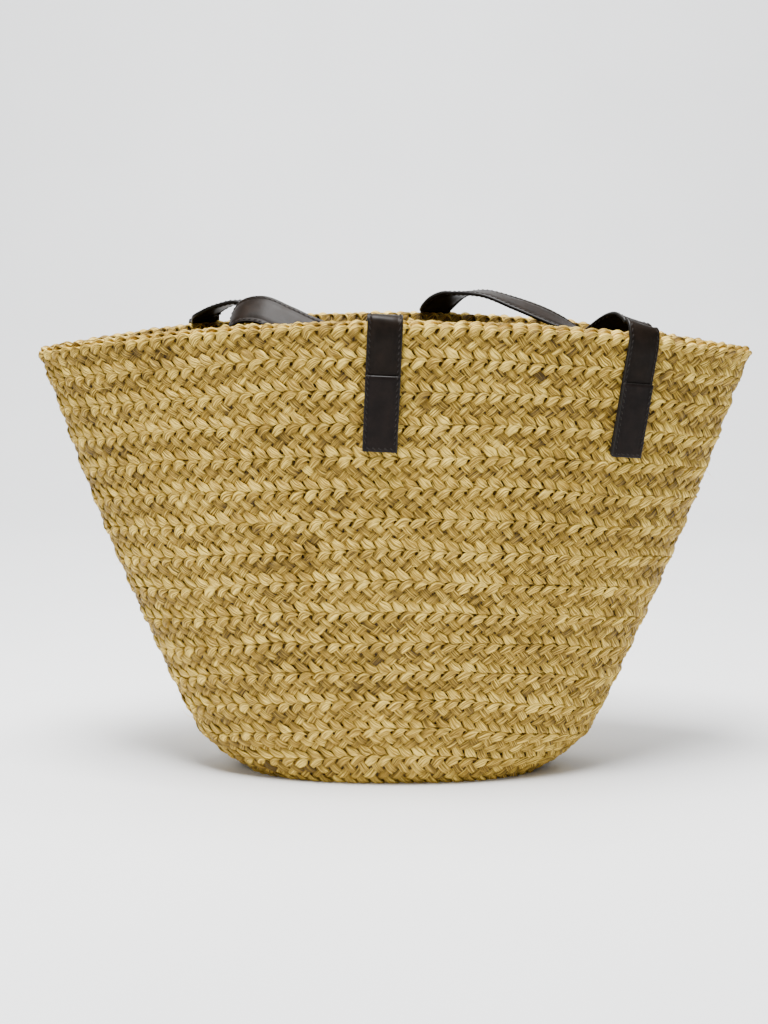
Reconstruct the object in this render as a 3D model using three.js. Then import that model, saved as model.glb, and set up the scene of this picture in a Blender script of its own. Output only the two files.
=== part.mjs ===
// A soft straw tote for the beach: wide plaited strips sewn edge to edge, with two leather handles.
// Millimetres, +Z up. X runs along the mouth, -Y is the front. The origin is under the middle of the base.
import * as THREE from 'three';

// Wall: the courses are counted down from the rim, and seam 15 is the edge of the base.
const WALL_COURSES = 15;
const STRAW_THICKNESS = 3;
const SEAM_GAP = 0.4;
const ROUND_STEPS = 40;

// Outline of the wall, as [seam, value] knots with a smooth curve through them.
const HALF_WIDTH = [[0, 247], [5, 211], [10, 168], [13, 138], [14, 121], [15, 99], [16, 77.5]];
const HALF_DEPTH = [[0, 90], [14, 54], [15, 43], [16, 21.5]];
const HEIGHT = [[0, 319], [13, 43], [14, 22.5], [15, 1.5], [16, 1.5]];
const END_DROOP = [[0, 22], [2, 17], [13, 15.5], [14, 10], [15, 0], [16, 0]];
// Above 1 the plan is a lens with folded ends, at 1 an ellipse, and below 1 a fuller oval.
const PINCH = [[0, 1.5], [14, 1], [15, 0.85], [16, 0.85]];

// Rim facing: a second plaited strip inside the top course, standing a little higher.
const FACING_THICKNESS = 2.5;
const FACING_TOP = -0.1;
const FACING_BOTTOM = 0.85;

// Handles: one leather strap each, sewn flat on the outside of the wall under an end patch.
const STRAP_WIDTH = 23;
const STRAP_THICKNESS = 2.6;
const STRAP_STANDOFF = 0.8;
const STRAP_END_SEAM = 3.75;
const PATCH_TOP_SEAM = 1.5;
const PATCH_THICKNESS = 1.6;
const PATCH_GAP = 0.3;
const PATCH_STEPS = 6;
const LEG_SPACING = 170;
const FRONT_CENTRE = 78.5;
const BACK_CENTRE = -54;
const LOOP_STEPS = 64;

// Each leg: how far its sewn end leans towards the middle, and how far it drops just inside its
// fold; a negative drop rises.
const FRONT_LEGS = { left: { lean: 3.5, dip: 0.6 }, right: { lean: 11, dip: -2 } };
const BACK_LEGS = { left: { lean: -7, dip: -2 }, right: { lean: -3.5, dip: -1.2 } };

// The sewn end climbs the wall to this seam number, then rounds the edge of the rim. The shoulder
// lists distances out and up from the fold, and how far the strap has turned to face the fold.
const WALL_STEPS = 9;
const SHOULDER_SEAM = 0.15;
const SHOULDER = [[4.9, -4.8, 0], [4.3, -2.4, 0.4], [3, -1.1, 1]];

// The strap folds over the rim about a line this far above the rim and inside it.
const FOLD_RISE = 5.4;
const FOLD_INSET = 1.5;
const FOLD_CLEARANCE = 1.6;
const NEAR_FOLD = 6;

// Stitching: a raised line of thread round the two long sides and the lower end of each patch.
const STITCH_INSET = 1.8;
const STITCH_WIDTH = 0.8;
const STITCH_HEIGHT = 0.5;
const STITCH_END_INSET = 0.1;

// Routes of the two straps inside the mouth, from the left leg to the right leg.
// Each row is a point on the middle of the strap, then the direction across its width.
const FRONT_ROUTE = [
  [-15, -68, 314, 0.9, 0.3, 0.3],
  [-31, -50, 307, 0.5, 0.6, 0.6],
  [-53, -38, 311, 0.1, 0.6, 0.8],
  [-74, -29, 320, 0, 0.6, 0.8],
  [-92, -22, 327, 0, 0.65, 0.75],
  [-106, -16, 325, 0, 0.8, 0.6],
  [-113, -11, 316, 0, 0.9, 0.3],
  [-112, -5, 303, 0, 1, 0],
  [-99, 1, 290, 0, 1, 0],
  [-70, 7, 276, 0, 0.95, 0.3],
  [-24, 9, 264, 0, 0.7, 0.7],
  [30, 6, 259, 0, 0.3, 1],
  [80, -3, 267, 0, 0, 1],
  [114, -15, 286, 0, 0, 1],
  [135, -27, 304, -0.2, 0, 1],
  [148, -37, 315.5, -0.6, -0.2, 0.8],
  [157, -45.5, 320.5, -0.9, -0.25, 0.3],
];
const BACK_ROUTE = [
  [-133, 57, 322.5, -0.9, -0.45, 0.1],
  [-122, 51.5, 328.5, -0.5, -0.85, 0.1],
  [-110, 47, 330.5, -0.2, -1, 0],
  [-96, 45, 323, 0, -1, -0.2],
  [-78, 45, 311, 0, -0.8, -0.6],
  [-45, 47, 300, 0, -0.1, -1],
  [10, 47, 293, 0, 0.6, -0.8],
  [67, 43, 289, 0, 0.95, -0.3],
  [106, 37, 287, 0, 1, 0],
  [129, 34, 290, 0, 1, 0],
  [137, 33, 299, 0, 1, 0],
  [131, 35, 309, 0, 1, 0.2],
  [113, 40, 319, 0, 0.95, 0.4],
  [89, 49, 329, 0.1, 0.95, 0.3],
  [65, 61, 336.5, 0.3, 0.95, 0.1],
  [46, 74, 335, 0.85, 0.5, 0],
];

const COLOURS = {
  straw: 0xc8af69,
  facing: 0xcdb570,
  leather: 0x1e1815,
  patch: 0x1a1412,
  thread: 0x2a221d,
};
const STRAW_ROUGHNESS = 0.75;
const LEATHER_ROUGHNESS = 0.45;
const THREAD_ROUGHNESS = 0.6;
const SLOPE_STEP = 0.01;
const UP = new THREE.Vector3(0, 0, 1);

// Value at a seam number from knots, by a monotone cubic; it runs straight on past either end.
function profile(knots, seam) {
  const slopes = knots.slice(1).map(([at, value], i) => (value - knots[i][1]) / (at - knots[i][0]));
  const tangent = (i) => {
    if (i === 0) return slopes[0];
    if (i === slopes.length) return slopes[i - 1];
    const [before, after] = [slopes[i - 1], slopes[i]];
    return before * after > 0 ? (2 * before * after) / (before + after) : 0;
  };
  if (seam < knots[0][0]) return knots[0][1] + slopes[0] * (seam - knots[0][0]);
  let i = 0;
  while (i < slopes.length - 1 && seam > knots[i + 1][0]) i += 1;
  const span = knots[i + 1][0] - knots[i][0];
  const s = (seam - knots[i][0]) / span;
  const start = knots[i][1] * (1 + 2 * s) * (1 - s) ** 2 + tangent(i) * span * s * (1 - s) ** 2;
  const end = knots[i + 1][1] * s * s * (3 - 2 * s) + tangent(i + 1) * span * s * s * (s - 1);
  return start + end;
}

// Point on the middle surface of the wall, at a seam number and an angle round the bag.
function wallPoint(seam, angle) {
  const across = Math.cos(angle);
  const deep = Math.sin(angle);
  const pinch = profile(PINCH, seam);
  const x = profile(HALF_WIDTH, seam) * Math.sign(across) * Math.abs(across) ** Math.min(1, pinch);
  const y = profile(HALF_DEPTH, seam) * Math.sign(deep) * Math.abs(deep) ** pinch;
  const z = profile(HEIGHT, seam) - profile(END_DROOP, seam) * across ** 2;
  return new THREE.Vector3(x, y, z);
}

// Directions on the wall surface: up the wall, and straight out of it.
function wallDirections(seam, angle) {
  const round = wallPoint(seam, angle + SLOPE_STEP).sub(wallPoint(seam, angle - SLOPE_STEP));
  const up = wallPoint(seam - SLOPE_STEP, angle).sub(wallPoint(seam + SLOPE_STEP, angle)).normalize();
  return { round: round.normalize(), up, out: round.clone().cross(up).normalize() };
}

// A closed body from rows of corner points: every row has the same corners, in the same order.
// The rows either close on themselves as a ring, or end in two flat caps.
function bodyFromRows(rows, closed) {
  const corners = rows[0].length;
  const positions = rows.flat().flatMap((p) => [p.x, p.y, p.z]);
  const index = [];
  const last = closed ? rows.length : rows.length - 1;
  for (let i = 0; i < last; i += 1) {
    const here = i * corners;
    const next = ((i + 1) % rows.length) * corners;
    for (let j = 0; j < corners; j += 1) {
      const k = (j + 1) % corners;
      index.push(here + j, next + k, here + k, here + j, next + j, next + k);
    }
  }
  if (!closed) {
    const end = (rows.length - 1) * corners;
    for (let j = 1; j < corners - 1; j += 1) {
      index.push(0, j, j + 1);
      index.push(end, end + j + 1, end + j);
    }
  }
  const geometry = new THREE.BufferGeometry();
  geometry.setAttribute('position', new THREE.Float32BufferAttribute(positions, 3));
  geometry.setIndex(index);
  geometry.computeVertexNormals();
  return geometry;
}

// One turn of plaited strip between two seams, at a distance out of the wall's middle surface.
function stripTurn(top, bottom, thickness, distance = 0, levels = 2) {
  const rows = [];
  for (let i = 0; i < ROUND_STEPS; i += 1) {
    const angle = (i / ROUND_STEPS) * 2 * Math.PI;
    const outside = [];
    const inside = [];
    for (let level = 0; level < levels; level += 1) {
      const share = level / (levels - 1);
      const seam = bottom + (top - bottom) * share;
      const { up, out } = wallDirections(seam, angle);
      const middle = wallPoint(seam, angle).addScaledVector(up, SEAM_GAP / 2 - SEAM_GAP * share);
      outside.push(middle.clone().addScaledVector(out, distance + thickness / 2));
      inside.unshift(middle.clone().addScaledVector(out, distance - thickness / 2));
    }
    rows.push([...outside, ...inside]);
  }
  return bodyFromRows(rows, true);
}

// The folded start of the base plait: a flat oval two strips wide.
function baseCore() {
  const outline = new THREE.Shape();
  for (let i = 0; i < ROUND_STEPS; i += 1) {
    const angle = (i / ROUND_STEPS) * 2 * Math.PI;
    const edge = wallPoint(WALL_COURSES + 1, angle);
    const inward = wallDirections(WALL_COURSES + 1, angle).up.multiplyScalar(-SEAM_GAP / 2);
    const point = [edge.x + inward.x, edge.y + inward.y];
    if (i === 0) outline.moveTo(...point);
    else outline.lineTo(...point);
  }
  return new THREE.ExtrudeGeometry(outline, { depth: STRAW_THICKNESS, bevelEnabled: false, steps: 1 });
}

// A flat strap swept through stations of { at, across }, with the grain side facing across x travel.
function strapThrough(stations, width, thickness) {
  const rows = stations.map(({ at, across }, i) => {
    const before = stations[Math.max(i - 1, 0)].at;
    const after = stations[Math.min(i + 1, stations.length - 1)].at;
    const travel = after.clone().sub(before).normalize();
    const side = across.clone().addScaledVector(travel, -across.dot(travel)).normalize();
    const face = side.clone().cross(travel);
    side.multiplyScalar(width / 2);
    face.multiplyScalar(thickness / 2);
    const corner = (w, t) => at.clone().addScaledVector(side, w).addScaledVector(face, t);
    return [corner(-1, -1), corner(1, -1), corner(1, 1), corner(-1, 1)];
  });
  return bodyFromRows(rows, false);
}

// Where one leg of a handle lies on the wall; side is -1 at the front and 1 at the back.
function legOnWall(leg, seam, distance) {
  const x = leg.x - (leg.lean * seam) / STRAP_END_SEAM;
  const angle = leg.side * Math.acos(x / profile(HALF_WIDTH, seam));
  const { round, up, out } = wallDirections(seam, angle);
  return { at: wallPoint(seam, angle).addScaledVector(out, distance), round, up, out };
}

// The point on the rim that the strap folds about, and the level direction out of the bag there.
function foldPoint(leg) {
  const { at, out } = legOnWall(leg, 0, 0);
  const outward = new THREE.Vector3(out.x, out.y, 0).normalize();
  return { at: at.addScaledVector(outward, -FOLD_INSET).addScaledVector(UP, FOLD_RISE), outward };
}

// The sewn end of a strap: up the outside of the wall, then round the outer edge of the rim.
function strapEnd(leg, axis) {
  const distance = STRAW_THICKNESS / 2 + STRAP_STANDOFF + STRAP_THICKNESS / 2;
  const stations = [];
  for (let i = 0; i <= WALL_STEPS; i += 1) {
    const seam = STRAP_END_SEAM + ((SHOULDER_SEAM - STRAP_END_SEAM) * i) / WALL_STEPS;
    const { at, round } = legOnWall(leg, seam, distance);
    stations.push({ at, across: round });
  }
  const fold = foldPoint(leg);
  const alongWall = stations[WALL_STEPS].across;
  const alongFold = axis.clone().multiplyScalar(-leg.side);
  for (const [outward, up, turned] of SHOULDER) {
    const at = fold.at.clone().addScaledVector(fold.outward, outward).addScaledVector(UP, up);
    stations.push({ at, across: alongWall.clone().lerp(alongFold, turned) });
  }
  return strapThrough(stations, STRAP_WIDTH, STRAP_THICKNESS);
}

// Stations of the end patch, or of anything else laid on the strap at a distance out from it.
function patchStations(leg, distance, from, to, sideways = 0) {
  const base = STRAW_THICKNESS / 2 + STRAP_STANDOFF + STRAP_THICKNESS + distance;
  const stations = [];
  for (let i = 0; i <= PATCH_STEPS; i += 1) {
    const { at, round } = legOnWall(leg, from + ((to - from) * i) / PATCH_STEPS, base);
    stations.push({ at: at.addScaledVector(round, sideways), across: round });
  }
  return stations;
}

function endPatch(leg) {
  const stations = patchStations(leg, PATCH_GAP + PATCH_THICKNESS / 2, STRAP_END_SEAM, PATCH_TOP_SEAM);
  return strapThrough(stations, STRAP_WIDTH, PATCH_THICKNESS);
}

// Thread down one long side of the patch, across its lower end and up the other side.
function stitching(leg) {
  const distance = PATCH_GAP + PATCH_THICKNESS + PATCH_GAP + STITCH_HEIGHT / 2;
  const side = STRAP_WIDTH / 2 - STITCH_INSET;
  const low = STRAP_END_SEAM - STITCH_END_INSET;
  const high = PATCH_TOP_SEAM + STITCH_END_INSET;
  const down = patchStations(leg, distance, high, low, -side);
  const up = patchStations(leg, distance, low, high, side);
  const stations = [...down, ...up];
  const face = legOnWall(leg, low, 0).out;
  const swept = stations.map(({ at }, i) => {
    const before = stations[Math.max(i - 1, 0)].at;
    const after = stations[Math.min(i + 1, stations.length - 1)].at;
    return { at, across: after.clone().sub(before).cross(face).normalize() };
  });
  return strapThrough(swept, STITCH_WIDTH, STITCH_HEIGHT);
}

// The free loop of a strap, from its left fold to its right fold.
function strapLoop(left, right, axis, route) {
  const firstFold = foldPoint(left);
  const lastFold = foldPoint(right);
  const inside = (fold, inward, down) => fold.at.clone()
    .addScaledVector(fold.outward, -inward).addScaledVector(UP, -down);
  const turn = axis.clone().multiplyScalar(-left.side);
  const middle = route.map(([x, y, z, a, b, c]) => ({
    at: new THREE.Vector3(x, y, z),
    across: new THREE.Vector3(a, b, c),
  }));
  const knots = [
    { at: inside(firstFold, FOLD_CLEARANCE, 0), across: turn },
    { at: inside(firstFold, NEAR_FOLD, left.dip), across: turn },
    ...middle,
    { at: inside(lastFold, NEAR_FOLD, right.dip), across: turn.clone().negate() },
    { at: inside(lastFold, FOLD_CLEARANCE, 0), across: turn.clone().negate() },
  ];
  const path = new THREE.CatmullRomCurve3(knots.map((knot) => knot.at), false, 'centripetal');
  const width = new THREE.CatmullRomCurve3(knots.map((knot) => knot.across), false, 'centripetal');
  const stations = [];
  for (let i = 0; i <= LOOP_STEPS; i += 1) {
    stations.push({ at: path.getPoint(i / LOOP_STEPS), across: width.getPoint(i / LOOP_STEPS) });
  }
  return strapThrough(stations, STRAP_WIDTH, STRAP_THICKNESS);
}

function addMesh(group, name, geometry, color, roughness) {
  const material = new THREE.MeshStandardMaterial({ name, color, roughness, metalness: 0 });
  const mesh = new THREE.Mesh(geometry, material);
  mesh.name = name;
  group.add(mesh);
}

function addBasket(group) {
  const round = stripTurn(WALL_COURSES, WALL_COURSES + 1, STRAW_THICKNESS);
  addMesh(group, 'base_core', baseCore(), COLOURS.straw, STRAW_ROUGHNESS);
  addMesh(group, 'base_round', round, COLOURS.straw, STRAW_ROUGHNESS);
  for (let course = 1; course <= WALL_COURSES; course += 1) {
    const levels = course === WALL_COURSES ? 3 : 2;
    const name = `wall_course_${String(course).padStart(2, '0')}`;
    const turn = stripTurn(course - 1, course, STRAW_THICKNESS, 0, levels);
    addMesh(group, name, turn, COLOURS.straw, STRAW_ROUGHNESS);
  }
  const inset = -(STRAW_THICKNESS / 2 + SEAM_GAP + FACING_THICKNESS / 2);
  const facing = stripTurn(FACING_TOP, FACING_BOTTOM, FACING_THICKNESS, inset);
  addMesh(group, 'rim_facing', facing, COLOURS.facing, STRAW_ROUGHNESS);
}

function addHandle(group, label, side, centre, { left, right }, route) {
  const legs = {
    left: { side, x: centre - LEG_SPACING / 2, ...left },
    right: { side, x: centre + LEG_SPACING / 2, ...right },
  };
  const axis = foldPoint(legs.right).at.sub(foldPoint(legs.left).at).normalize();
  const loop = strapLoop(legs.left, legs.right, axis, route);
  addMesh(group, `${label}_handle_strap`, loop, COLOURS.leather, LEATHER_ROUGHNESS);
  for (const [hand, leg] of Object.entries(legs)) {
    const end = `${label}_${hand}`;
    addMesh(group, `${end}_strap_end`, strapEnd(leg, axis), COLOURS.leather, LEATHER_ROUGHNESS);
    addMesh(group, `${end}_patch`, endPatch(leg), COLOURS.patch, LEATHER_ROUGHNESS);
    addMesh(group, `${end}_stitching`, stitching(leg), COLOURS.thread, THREAD_ROUGHNESS);
  }
}

const bag = new THREE.Group();
bag.name = 'beach_bag';
addBasket(bag);
addHandle(bag, 'front', -1, FRONT_CENTRE, FRONT_LEGS, FRONT_ROUTE);
addHandle(bag, 'back', 1, BACK_CENTRE, BACK_LEGS, BACK_ROUTE);

export default bag;
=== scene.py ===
"""A soft straw beach tote with two dark leather handles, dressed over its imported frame.

Every piece is built in metres in the frame's own coordinates: X along the mouth, -Y the front and
+Z up.
"""
import logging
import math
from dataclasses import dataclass, field
from enum import Enum

import bpy
import numpy as np
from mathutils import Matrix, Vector


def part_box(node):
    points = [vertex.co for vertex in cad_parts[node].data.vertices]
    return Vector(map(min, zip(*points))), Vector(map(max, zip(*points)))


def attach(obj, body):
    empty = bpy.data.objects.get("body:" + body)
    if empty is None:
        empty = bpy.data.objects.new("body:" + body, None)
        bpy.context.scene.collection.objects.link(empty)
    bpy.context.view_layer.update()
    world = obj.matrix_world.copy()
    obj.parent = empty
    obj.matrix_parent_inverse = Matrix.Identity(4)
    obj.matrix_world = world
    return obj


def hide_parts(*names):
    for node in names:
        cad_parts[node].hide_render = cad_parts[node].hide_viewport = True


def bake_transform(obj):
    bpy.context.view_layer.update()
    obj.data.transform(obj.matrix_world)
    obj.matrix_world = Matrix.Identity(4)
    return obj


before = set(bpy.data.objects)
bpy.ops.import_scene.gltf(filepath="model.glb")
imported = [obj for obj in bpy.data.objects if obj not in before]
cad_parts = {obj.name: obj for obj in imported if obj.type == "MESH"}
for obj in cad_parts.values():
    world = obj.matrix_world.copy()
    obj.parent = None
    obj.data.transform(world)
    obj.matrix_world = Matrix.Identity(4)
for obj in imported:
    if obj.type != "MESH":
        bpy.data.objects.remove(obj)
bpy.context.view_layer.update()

MM = 0.001
UP = np.array([0.0, 0.0, 1.0])
DENSE_STEPS = 4000
log = logging.getLogger("beach_bag")


# ---- Small tools ----

def linear(hex_colour: str) -> tuple[float, float, float, float]:
    """Turns an sRGB hex colour into the linear colour that a shader socket takes.

    Args:
        hex_colour: Six hex digits, such as "c8af69".

    Returns:
        Linear red, green, blue and an alpha of 1.
    """
    channels = []
    for start in (0, 2, 4):
        value = int(hex_colour[start:start + 2], 16) / 255
        channels.append(value / 12.92 if value <= 0.04045 else ((value + 0.055) / 1.055) ** 2.4)
    return (channels[0], channels[1], channels[2], 1.0)


def unit(vectors: np.ndarray) -> np.ndarray:
    """Scales rows of vectors to length one."""
    return vectors / np.maximum(np.linalg.norm(vectors, axis=-1, keepdims=True), 1e-12)


def smooth(share: np.ndarray) -> np.ndarray:
    """Eases a share from 0 to 1, flat at both ends and held to that range."""
    held = np.clip(share, 0, 1)
    return held * held * (3 - 2 * held)
def hermite(start: np.ndarray, leave: np.ndarray, end: np.ndarray, arrive: np.ndarray,
            share: np.ndarray) -> np.ndarray:
    """Reads a cubic between two values whose slopes, for the whole span, are known."""
    rest = (1 - share) ** 2
    return (start * (1 + 2 * share) * rest + leave * share * rest
            + end * share * share * (3 - 2 * share) + arrive * share * share * (share - 1))

def monotone(knots: np.ndarray, at: np.ndarray) -> np.ndarray:
    """Reads a smooth curve through values at 0, 1, 2 and so on, without overshoot."""
    slopes = np.diff(knots)
    before, after = slopes[:-1], slopes[1:]
    same_way = before * after > 0
    inner = np.where(same_way, 2 * before * after / np.where(same_way, before + after, 1), 0)
    tangents = np.concatenate([slopes[:1], inner, slopes[-1:]])
    i = np.clip(np.floor(at).astype(int), 0, len(slopes) - 1)
    curve = hermite(knots[i], tangents[i], knots[i + 1], tangents[i + 1], np.minimum(at - i, 1))
    return np.where(at < 0, knots[0] + tangents[0] * at, curve)


def spline(points: np.ndarray, steps: np.ndarray) -> np.ndarray:
    """Reads a centripetal Catmull-Rom curve.

    Args:
        points: Rows of knots; the first three columns are the place and set the pace.
        steps: Shares of the way from the first knot to the last, from 0 to 1.

    Returns:
        One row for each step, with all the columns of the knots.
    """
    pace = np.linalg.norm(np.diff(points[:, :3], axis=0), axis=1) ** 0.5
    knots = np.concatenate([[0], np.cumsum(pace)])
    tangents = np.gradient(points, knots, axis=0)
    at = steps * knots[-1]
    i = np.clip(np.searchsorted(knots, at, side="right") - 1, 0, len(knots) - 2)
    span = (knots[i + 1] - knots[i])[:, None]
    share = (at - knots[i])[:, None] / span
    return hermite(points[i], tangents[i] * span, points[i + 1], tangents[i + 1] * span, share)


def distances(path: np.ndarray) -> np.ndarray:
    """Measures how far along a path each of its rows lies."""
    return np.concatenate([[0], np.cumsum(np.linalg.norm(np.diff(path, axis=0), axis=1))])


def even_steps(path: np.ndarray, spacing: float) -> np.ndarray:
    """Walks along a dense path of rows that start with a place, in equal steps."""
    run = distances(path[:, :3])
    wanted = np.linspace(0, run[-1], max(2, round(run[-1] / spacing) + 1))
    return np.stack([np.interp(wanted, run, column) for column in path.T], axis=1)


def add_object(name: str, vertices: np.ndarray, faces: np.ndarray, materials: list,
               uv: np.ndarray | None = None, tone_and_shade: np.ndarray | None = None,
               slots: np.ndarray | None = None) -> bpy.types.Object:
    """Makes a smooth-shaded mesh object from arrays.

    Args:
        name: The piece's name.
        vertices: Rows of places.
        faces: Rows of four corner numbers.
        materials: The materials in slot order.
        uv: A pair for each vertex, or None.
        tone_and_shade: A number for each vertex, kept as the attribute "tone", or None.
        slots: The material slot of each face, or None for the first.

    Returns:
        The new object, linked to the scene.
    """
    mesh = bpy.data.meshes.new(name)
    mesh.vertices.add(len(vertices))
    mesh.vertices.foreach_set("co", np.ascontiguousarray(vertices, np.float32).ravel())
    mesh.loops.add(faces.size)
    mesh.loops.foreach_set("vertex_index", np.ascontiguousarray(faces, np.int32).ravel())
    mesh.polygons.add(len(faces))
    mesh.polygons.foreach_set("loop_start", np.arange(0, faces.size, 4, dtype=np.int32))
    mesh.polygons.foreach_set("use_smooth", np.ones(len(faces), bool))
    for material in materials:
        mesh.materials.append(material)
    if slots is not None:
        mesh.polygons.foreach_set("material_index", slots.astype(np.int32))
    if uv is not None:
        layer = mesh.uv_layers.new(name="UVMap")
        layer.data.foreach_set("uv", uv[faces.ravel()].astype(np.float32).ravel())
    if tone_and_shade is not None:
        attribute = mesh.attributes.new("tone_and_shade", "FLOAT", "POINT")
        attribute.data.foreach_set("value", tone_and_shade.astype(np.float32))
    mesh.update(calc_edges=True)
    mesh.validate()
    obj = bpy.data.objects.new(name, mesh)
    bpy.context.scene.collection.objects.link(obj)
    log.info("%s: %d faces", name, len(faces))
    return obj


def grid_faces(rows: int, columns: int, closed: bool) -> np.ndarray:
    """Numbers the faces of a tube of rows of vertices; closed joins its last row to its first."""
    i = np.arange(rows if closed else rows - 1)[:, None]
    j = np.arange(columns)[None, :]
    here, there = i * columns, ((i + 1) % rows) * columns
    turn = (j + 1) % columns
    return np.stack([here + j, there + j, there + turn, here + turn], axis=-1).reshape(-1, 4)
def circle(count: int) -> np.ndarray:
    """Spreads angles evenly round a full turn."""
    return np.arange(count) / count * 2 * np.pi


def loops(middle: np.ndarray, side: np.ndarray, face: np.ndarray, wide: np.ndarray,
          deep: np.ndarray) -> np.ndarray:
    """Sets a loop of vertices round each row of a path, at distances across it and out of it."""
    return (middle[:, None, :] + side[:, None, :] * wide[:, :, None]
            + face[:, None, :] * deep[:, :, None])


def settle(piece: bpy.types.Object, node: str) -> None:
    """Fixes a piece to the bag in place of its plain solid."""
    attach(piece, "root")
    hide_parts(node)

# ---- Finishes ----

def add_node(tree: bpy.types.NodeTree, kind: str, settings: dict | None = None,
             inputs: dict | None = None) -> bpy.types.Node:
    """Adds a shader node with its settings and links.

    Args:
        tree: The material's node tree.
        kind: The node's type name.
        settings: Values of the node's own properties.
        inputs: For each input, by name or number, a value or the output socket to link.

    Returns:
        The new node.
    """
    node = tree.nodes.new(kind)
    for key, value in (settings or {}).items():
        setattr(node, key, value)
    for key, value in (inputs or {}).items():
        if isinstance(value, bpy.types.NodeSocket):
            tree.links.new(value, node.inputs[key])
        else:
            node.inputs[key].default_value = value
    return node


def new_material(name: str) -> tuple[bpy.types.Material, bpy.types.NodeTree]:
    """Makes a node material and gives it with its empty node tree."""
    material = bpy.data.materials.new(name)
    material.use_nodes = True
    material.node_tree.nodes.clear()
    return material, material.node_tree


def ramp(tree: bpy.types.NodeTree, factor: bpy.types.NodeSocket,
         stops: list[tuple[float, tuple]]) -> bpy.types.NodeSocket:
    """Maps a factor through a colour ramp, given pairs of position and linear colour."""
    node = add_node(tree, "ShaderNodeValToRGB", inputs={"Fac": factor})
    elements = node.color_ramp.elements
    while len(elements) < len(stops):
        elements.new(1.0)
    for element, (position, colour) in zip(elements, stops):
        element.position = position
        element.color = colour
    return node.outputs["Color"]
def add_gloss(tree: bpy.types.NodeTree, factor: bpy.types.NodeSocket, roughness: float,
              spread: tuple[float, float]) -> bpy.types.NodeSocket:
    """Varies a roughness with a factor, down by the first of the spread and up by the second."""
    node = add_node(tree, "ShaderNodeMapRange",
                    inputs={"Value": factor, "To Min": roughness - spread[0],
                            "To Max": roughness + spread[1]})
    return node.outputs["Result"]


def add_bump(tree: bpy.types.NodeTree, height: bpy.types.NodeSocket, strength: float,
             distance: float, under: bpy.types.NodeSocket | None = None) -> bpy.types.NodeSocket:
    """Raises a surface by a height, on top of another bump if one is given."""
    node = add_node(tree, "ShaderNodeBump",
                    inputs={"Height": height, "Strength": strength, "Distance": distance})
    if under is not None:
        tree.links.new(under, node.inputs["Normal"])
    return node.outputs["Normal"]


def add_surface(tree: bpy.types.NodeTree, inputs: dict) -> None:
    """Joins colour, gloss and bump into a surface and links it to the material's output."""
    surface = add_node(tree, "ShaderNodeBsdfPrincipled", inputs=inputs)
    add_node(tree, "ShaderNodeOutputMaterial", inputs={"Surface": surface.outputs["BSDF"]})

@dataclass(frozen=True)
class PlaitedStraw:
    """Dried palm leaf, split and plaited dry: golden, fibrous along each strand and a little waxy.

    The eye gets long pale and brown fibres on every strand, strands that differ in colour at
    random, and dark crossings where the weave goes under, partly their own shadow and partly
    painted shade.
    """

    name: str = "plaited_straw"
    pale: str = "fbd864"
    gold: str = "ae8a30"
    olive: str = "6b5214"
    brown: str = "2a1c07"
    tones: tuple = (0.32, 0.55, 0.75, 0.95)
    fibre_contrast: float = 1.25
    patch_contrast: float = 0.16
    ior: float = 1.45
    sheen: float = 0.3
    roughness: float = 0.56
    spread: tuple = (0.12, 0.14)
    relief: float = 1.0 * MM
    fibre_width: float = 0.55 * MM
    fibre_length: float = 16 * MM
    patch_size: float = 70 * MM

    def build(self) -> bpy.types.Material:
        """Builds the finish; UV holds metres across and along each strand."""
        material, tree = new_material(self.name)
        uv = add_node(tree, "ShaderNodeUVMap", {"uv_map": "UVMap"}).outputs["UV"]
        # The vertex attribute holds random strand tone plus painted shade in the hollows, the
        # middle rows and the chinks.
        tone_and_shade = add_node(tree, "ShaderNodeAttribute", {"attribute_name": "tone_and_shade"}).outputs["Fac"]
        place = add_node(tree, "ShaderNodeTexCoord").outputs["Object"]
        scale = (1 / self.fibre_width, 1 / self.fibre_length, 1.0)
        along = add_node(tree, "ShaderNodeMapping", inputs={"Vector": uv, "Scale": scale})
        fibres = add_node(tree, "ShaderNodeTexNoise", {"noise_dimensions": "2D"},
                          {"Vector": along.outputs["Vector"], "Scale": 1.0, "Detail": 3.0,
                           "Roughness": 0.6}).outputs["Fac"]
        patches = add_node(tree, "ShaderNodeTexNoise",
                           inputs={"Vector": place, "Scale": 1 / self.patch_size,
                                   "Detail": 2.0}).outputs["Fac"]
        shade = tone_and_shade
        for factor, contrast in ((fibres, self.fibre_contrast), (patches, self.patch_contrast)):
            shade = add_node(tree, "ShaderNodeMath", {"operation": "MULTIPLY_ADD"},
                             {0: factor, 1: contrast, 2: shade}).outputs[0]
        colours = (self.brown, self.olive, self.gold, self.pale)
        stops = [(tone_at, linear(hue)) for tone_at, hue in zip(self.tones, colours)]
        add_surface(tree, {"Base Color": ramp(tree, shade, stops),
                           "Roughness": add_gloss(tree, fibres, self.roughness, self.spread),
                           "IOR": self.ior, "Specular IOR Level": self.sheen,
                           "Normal": add_bump(tree, fibres, 1.0, self.relief)})
        return material


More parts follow.
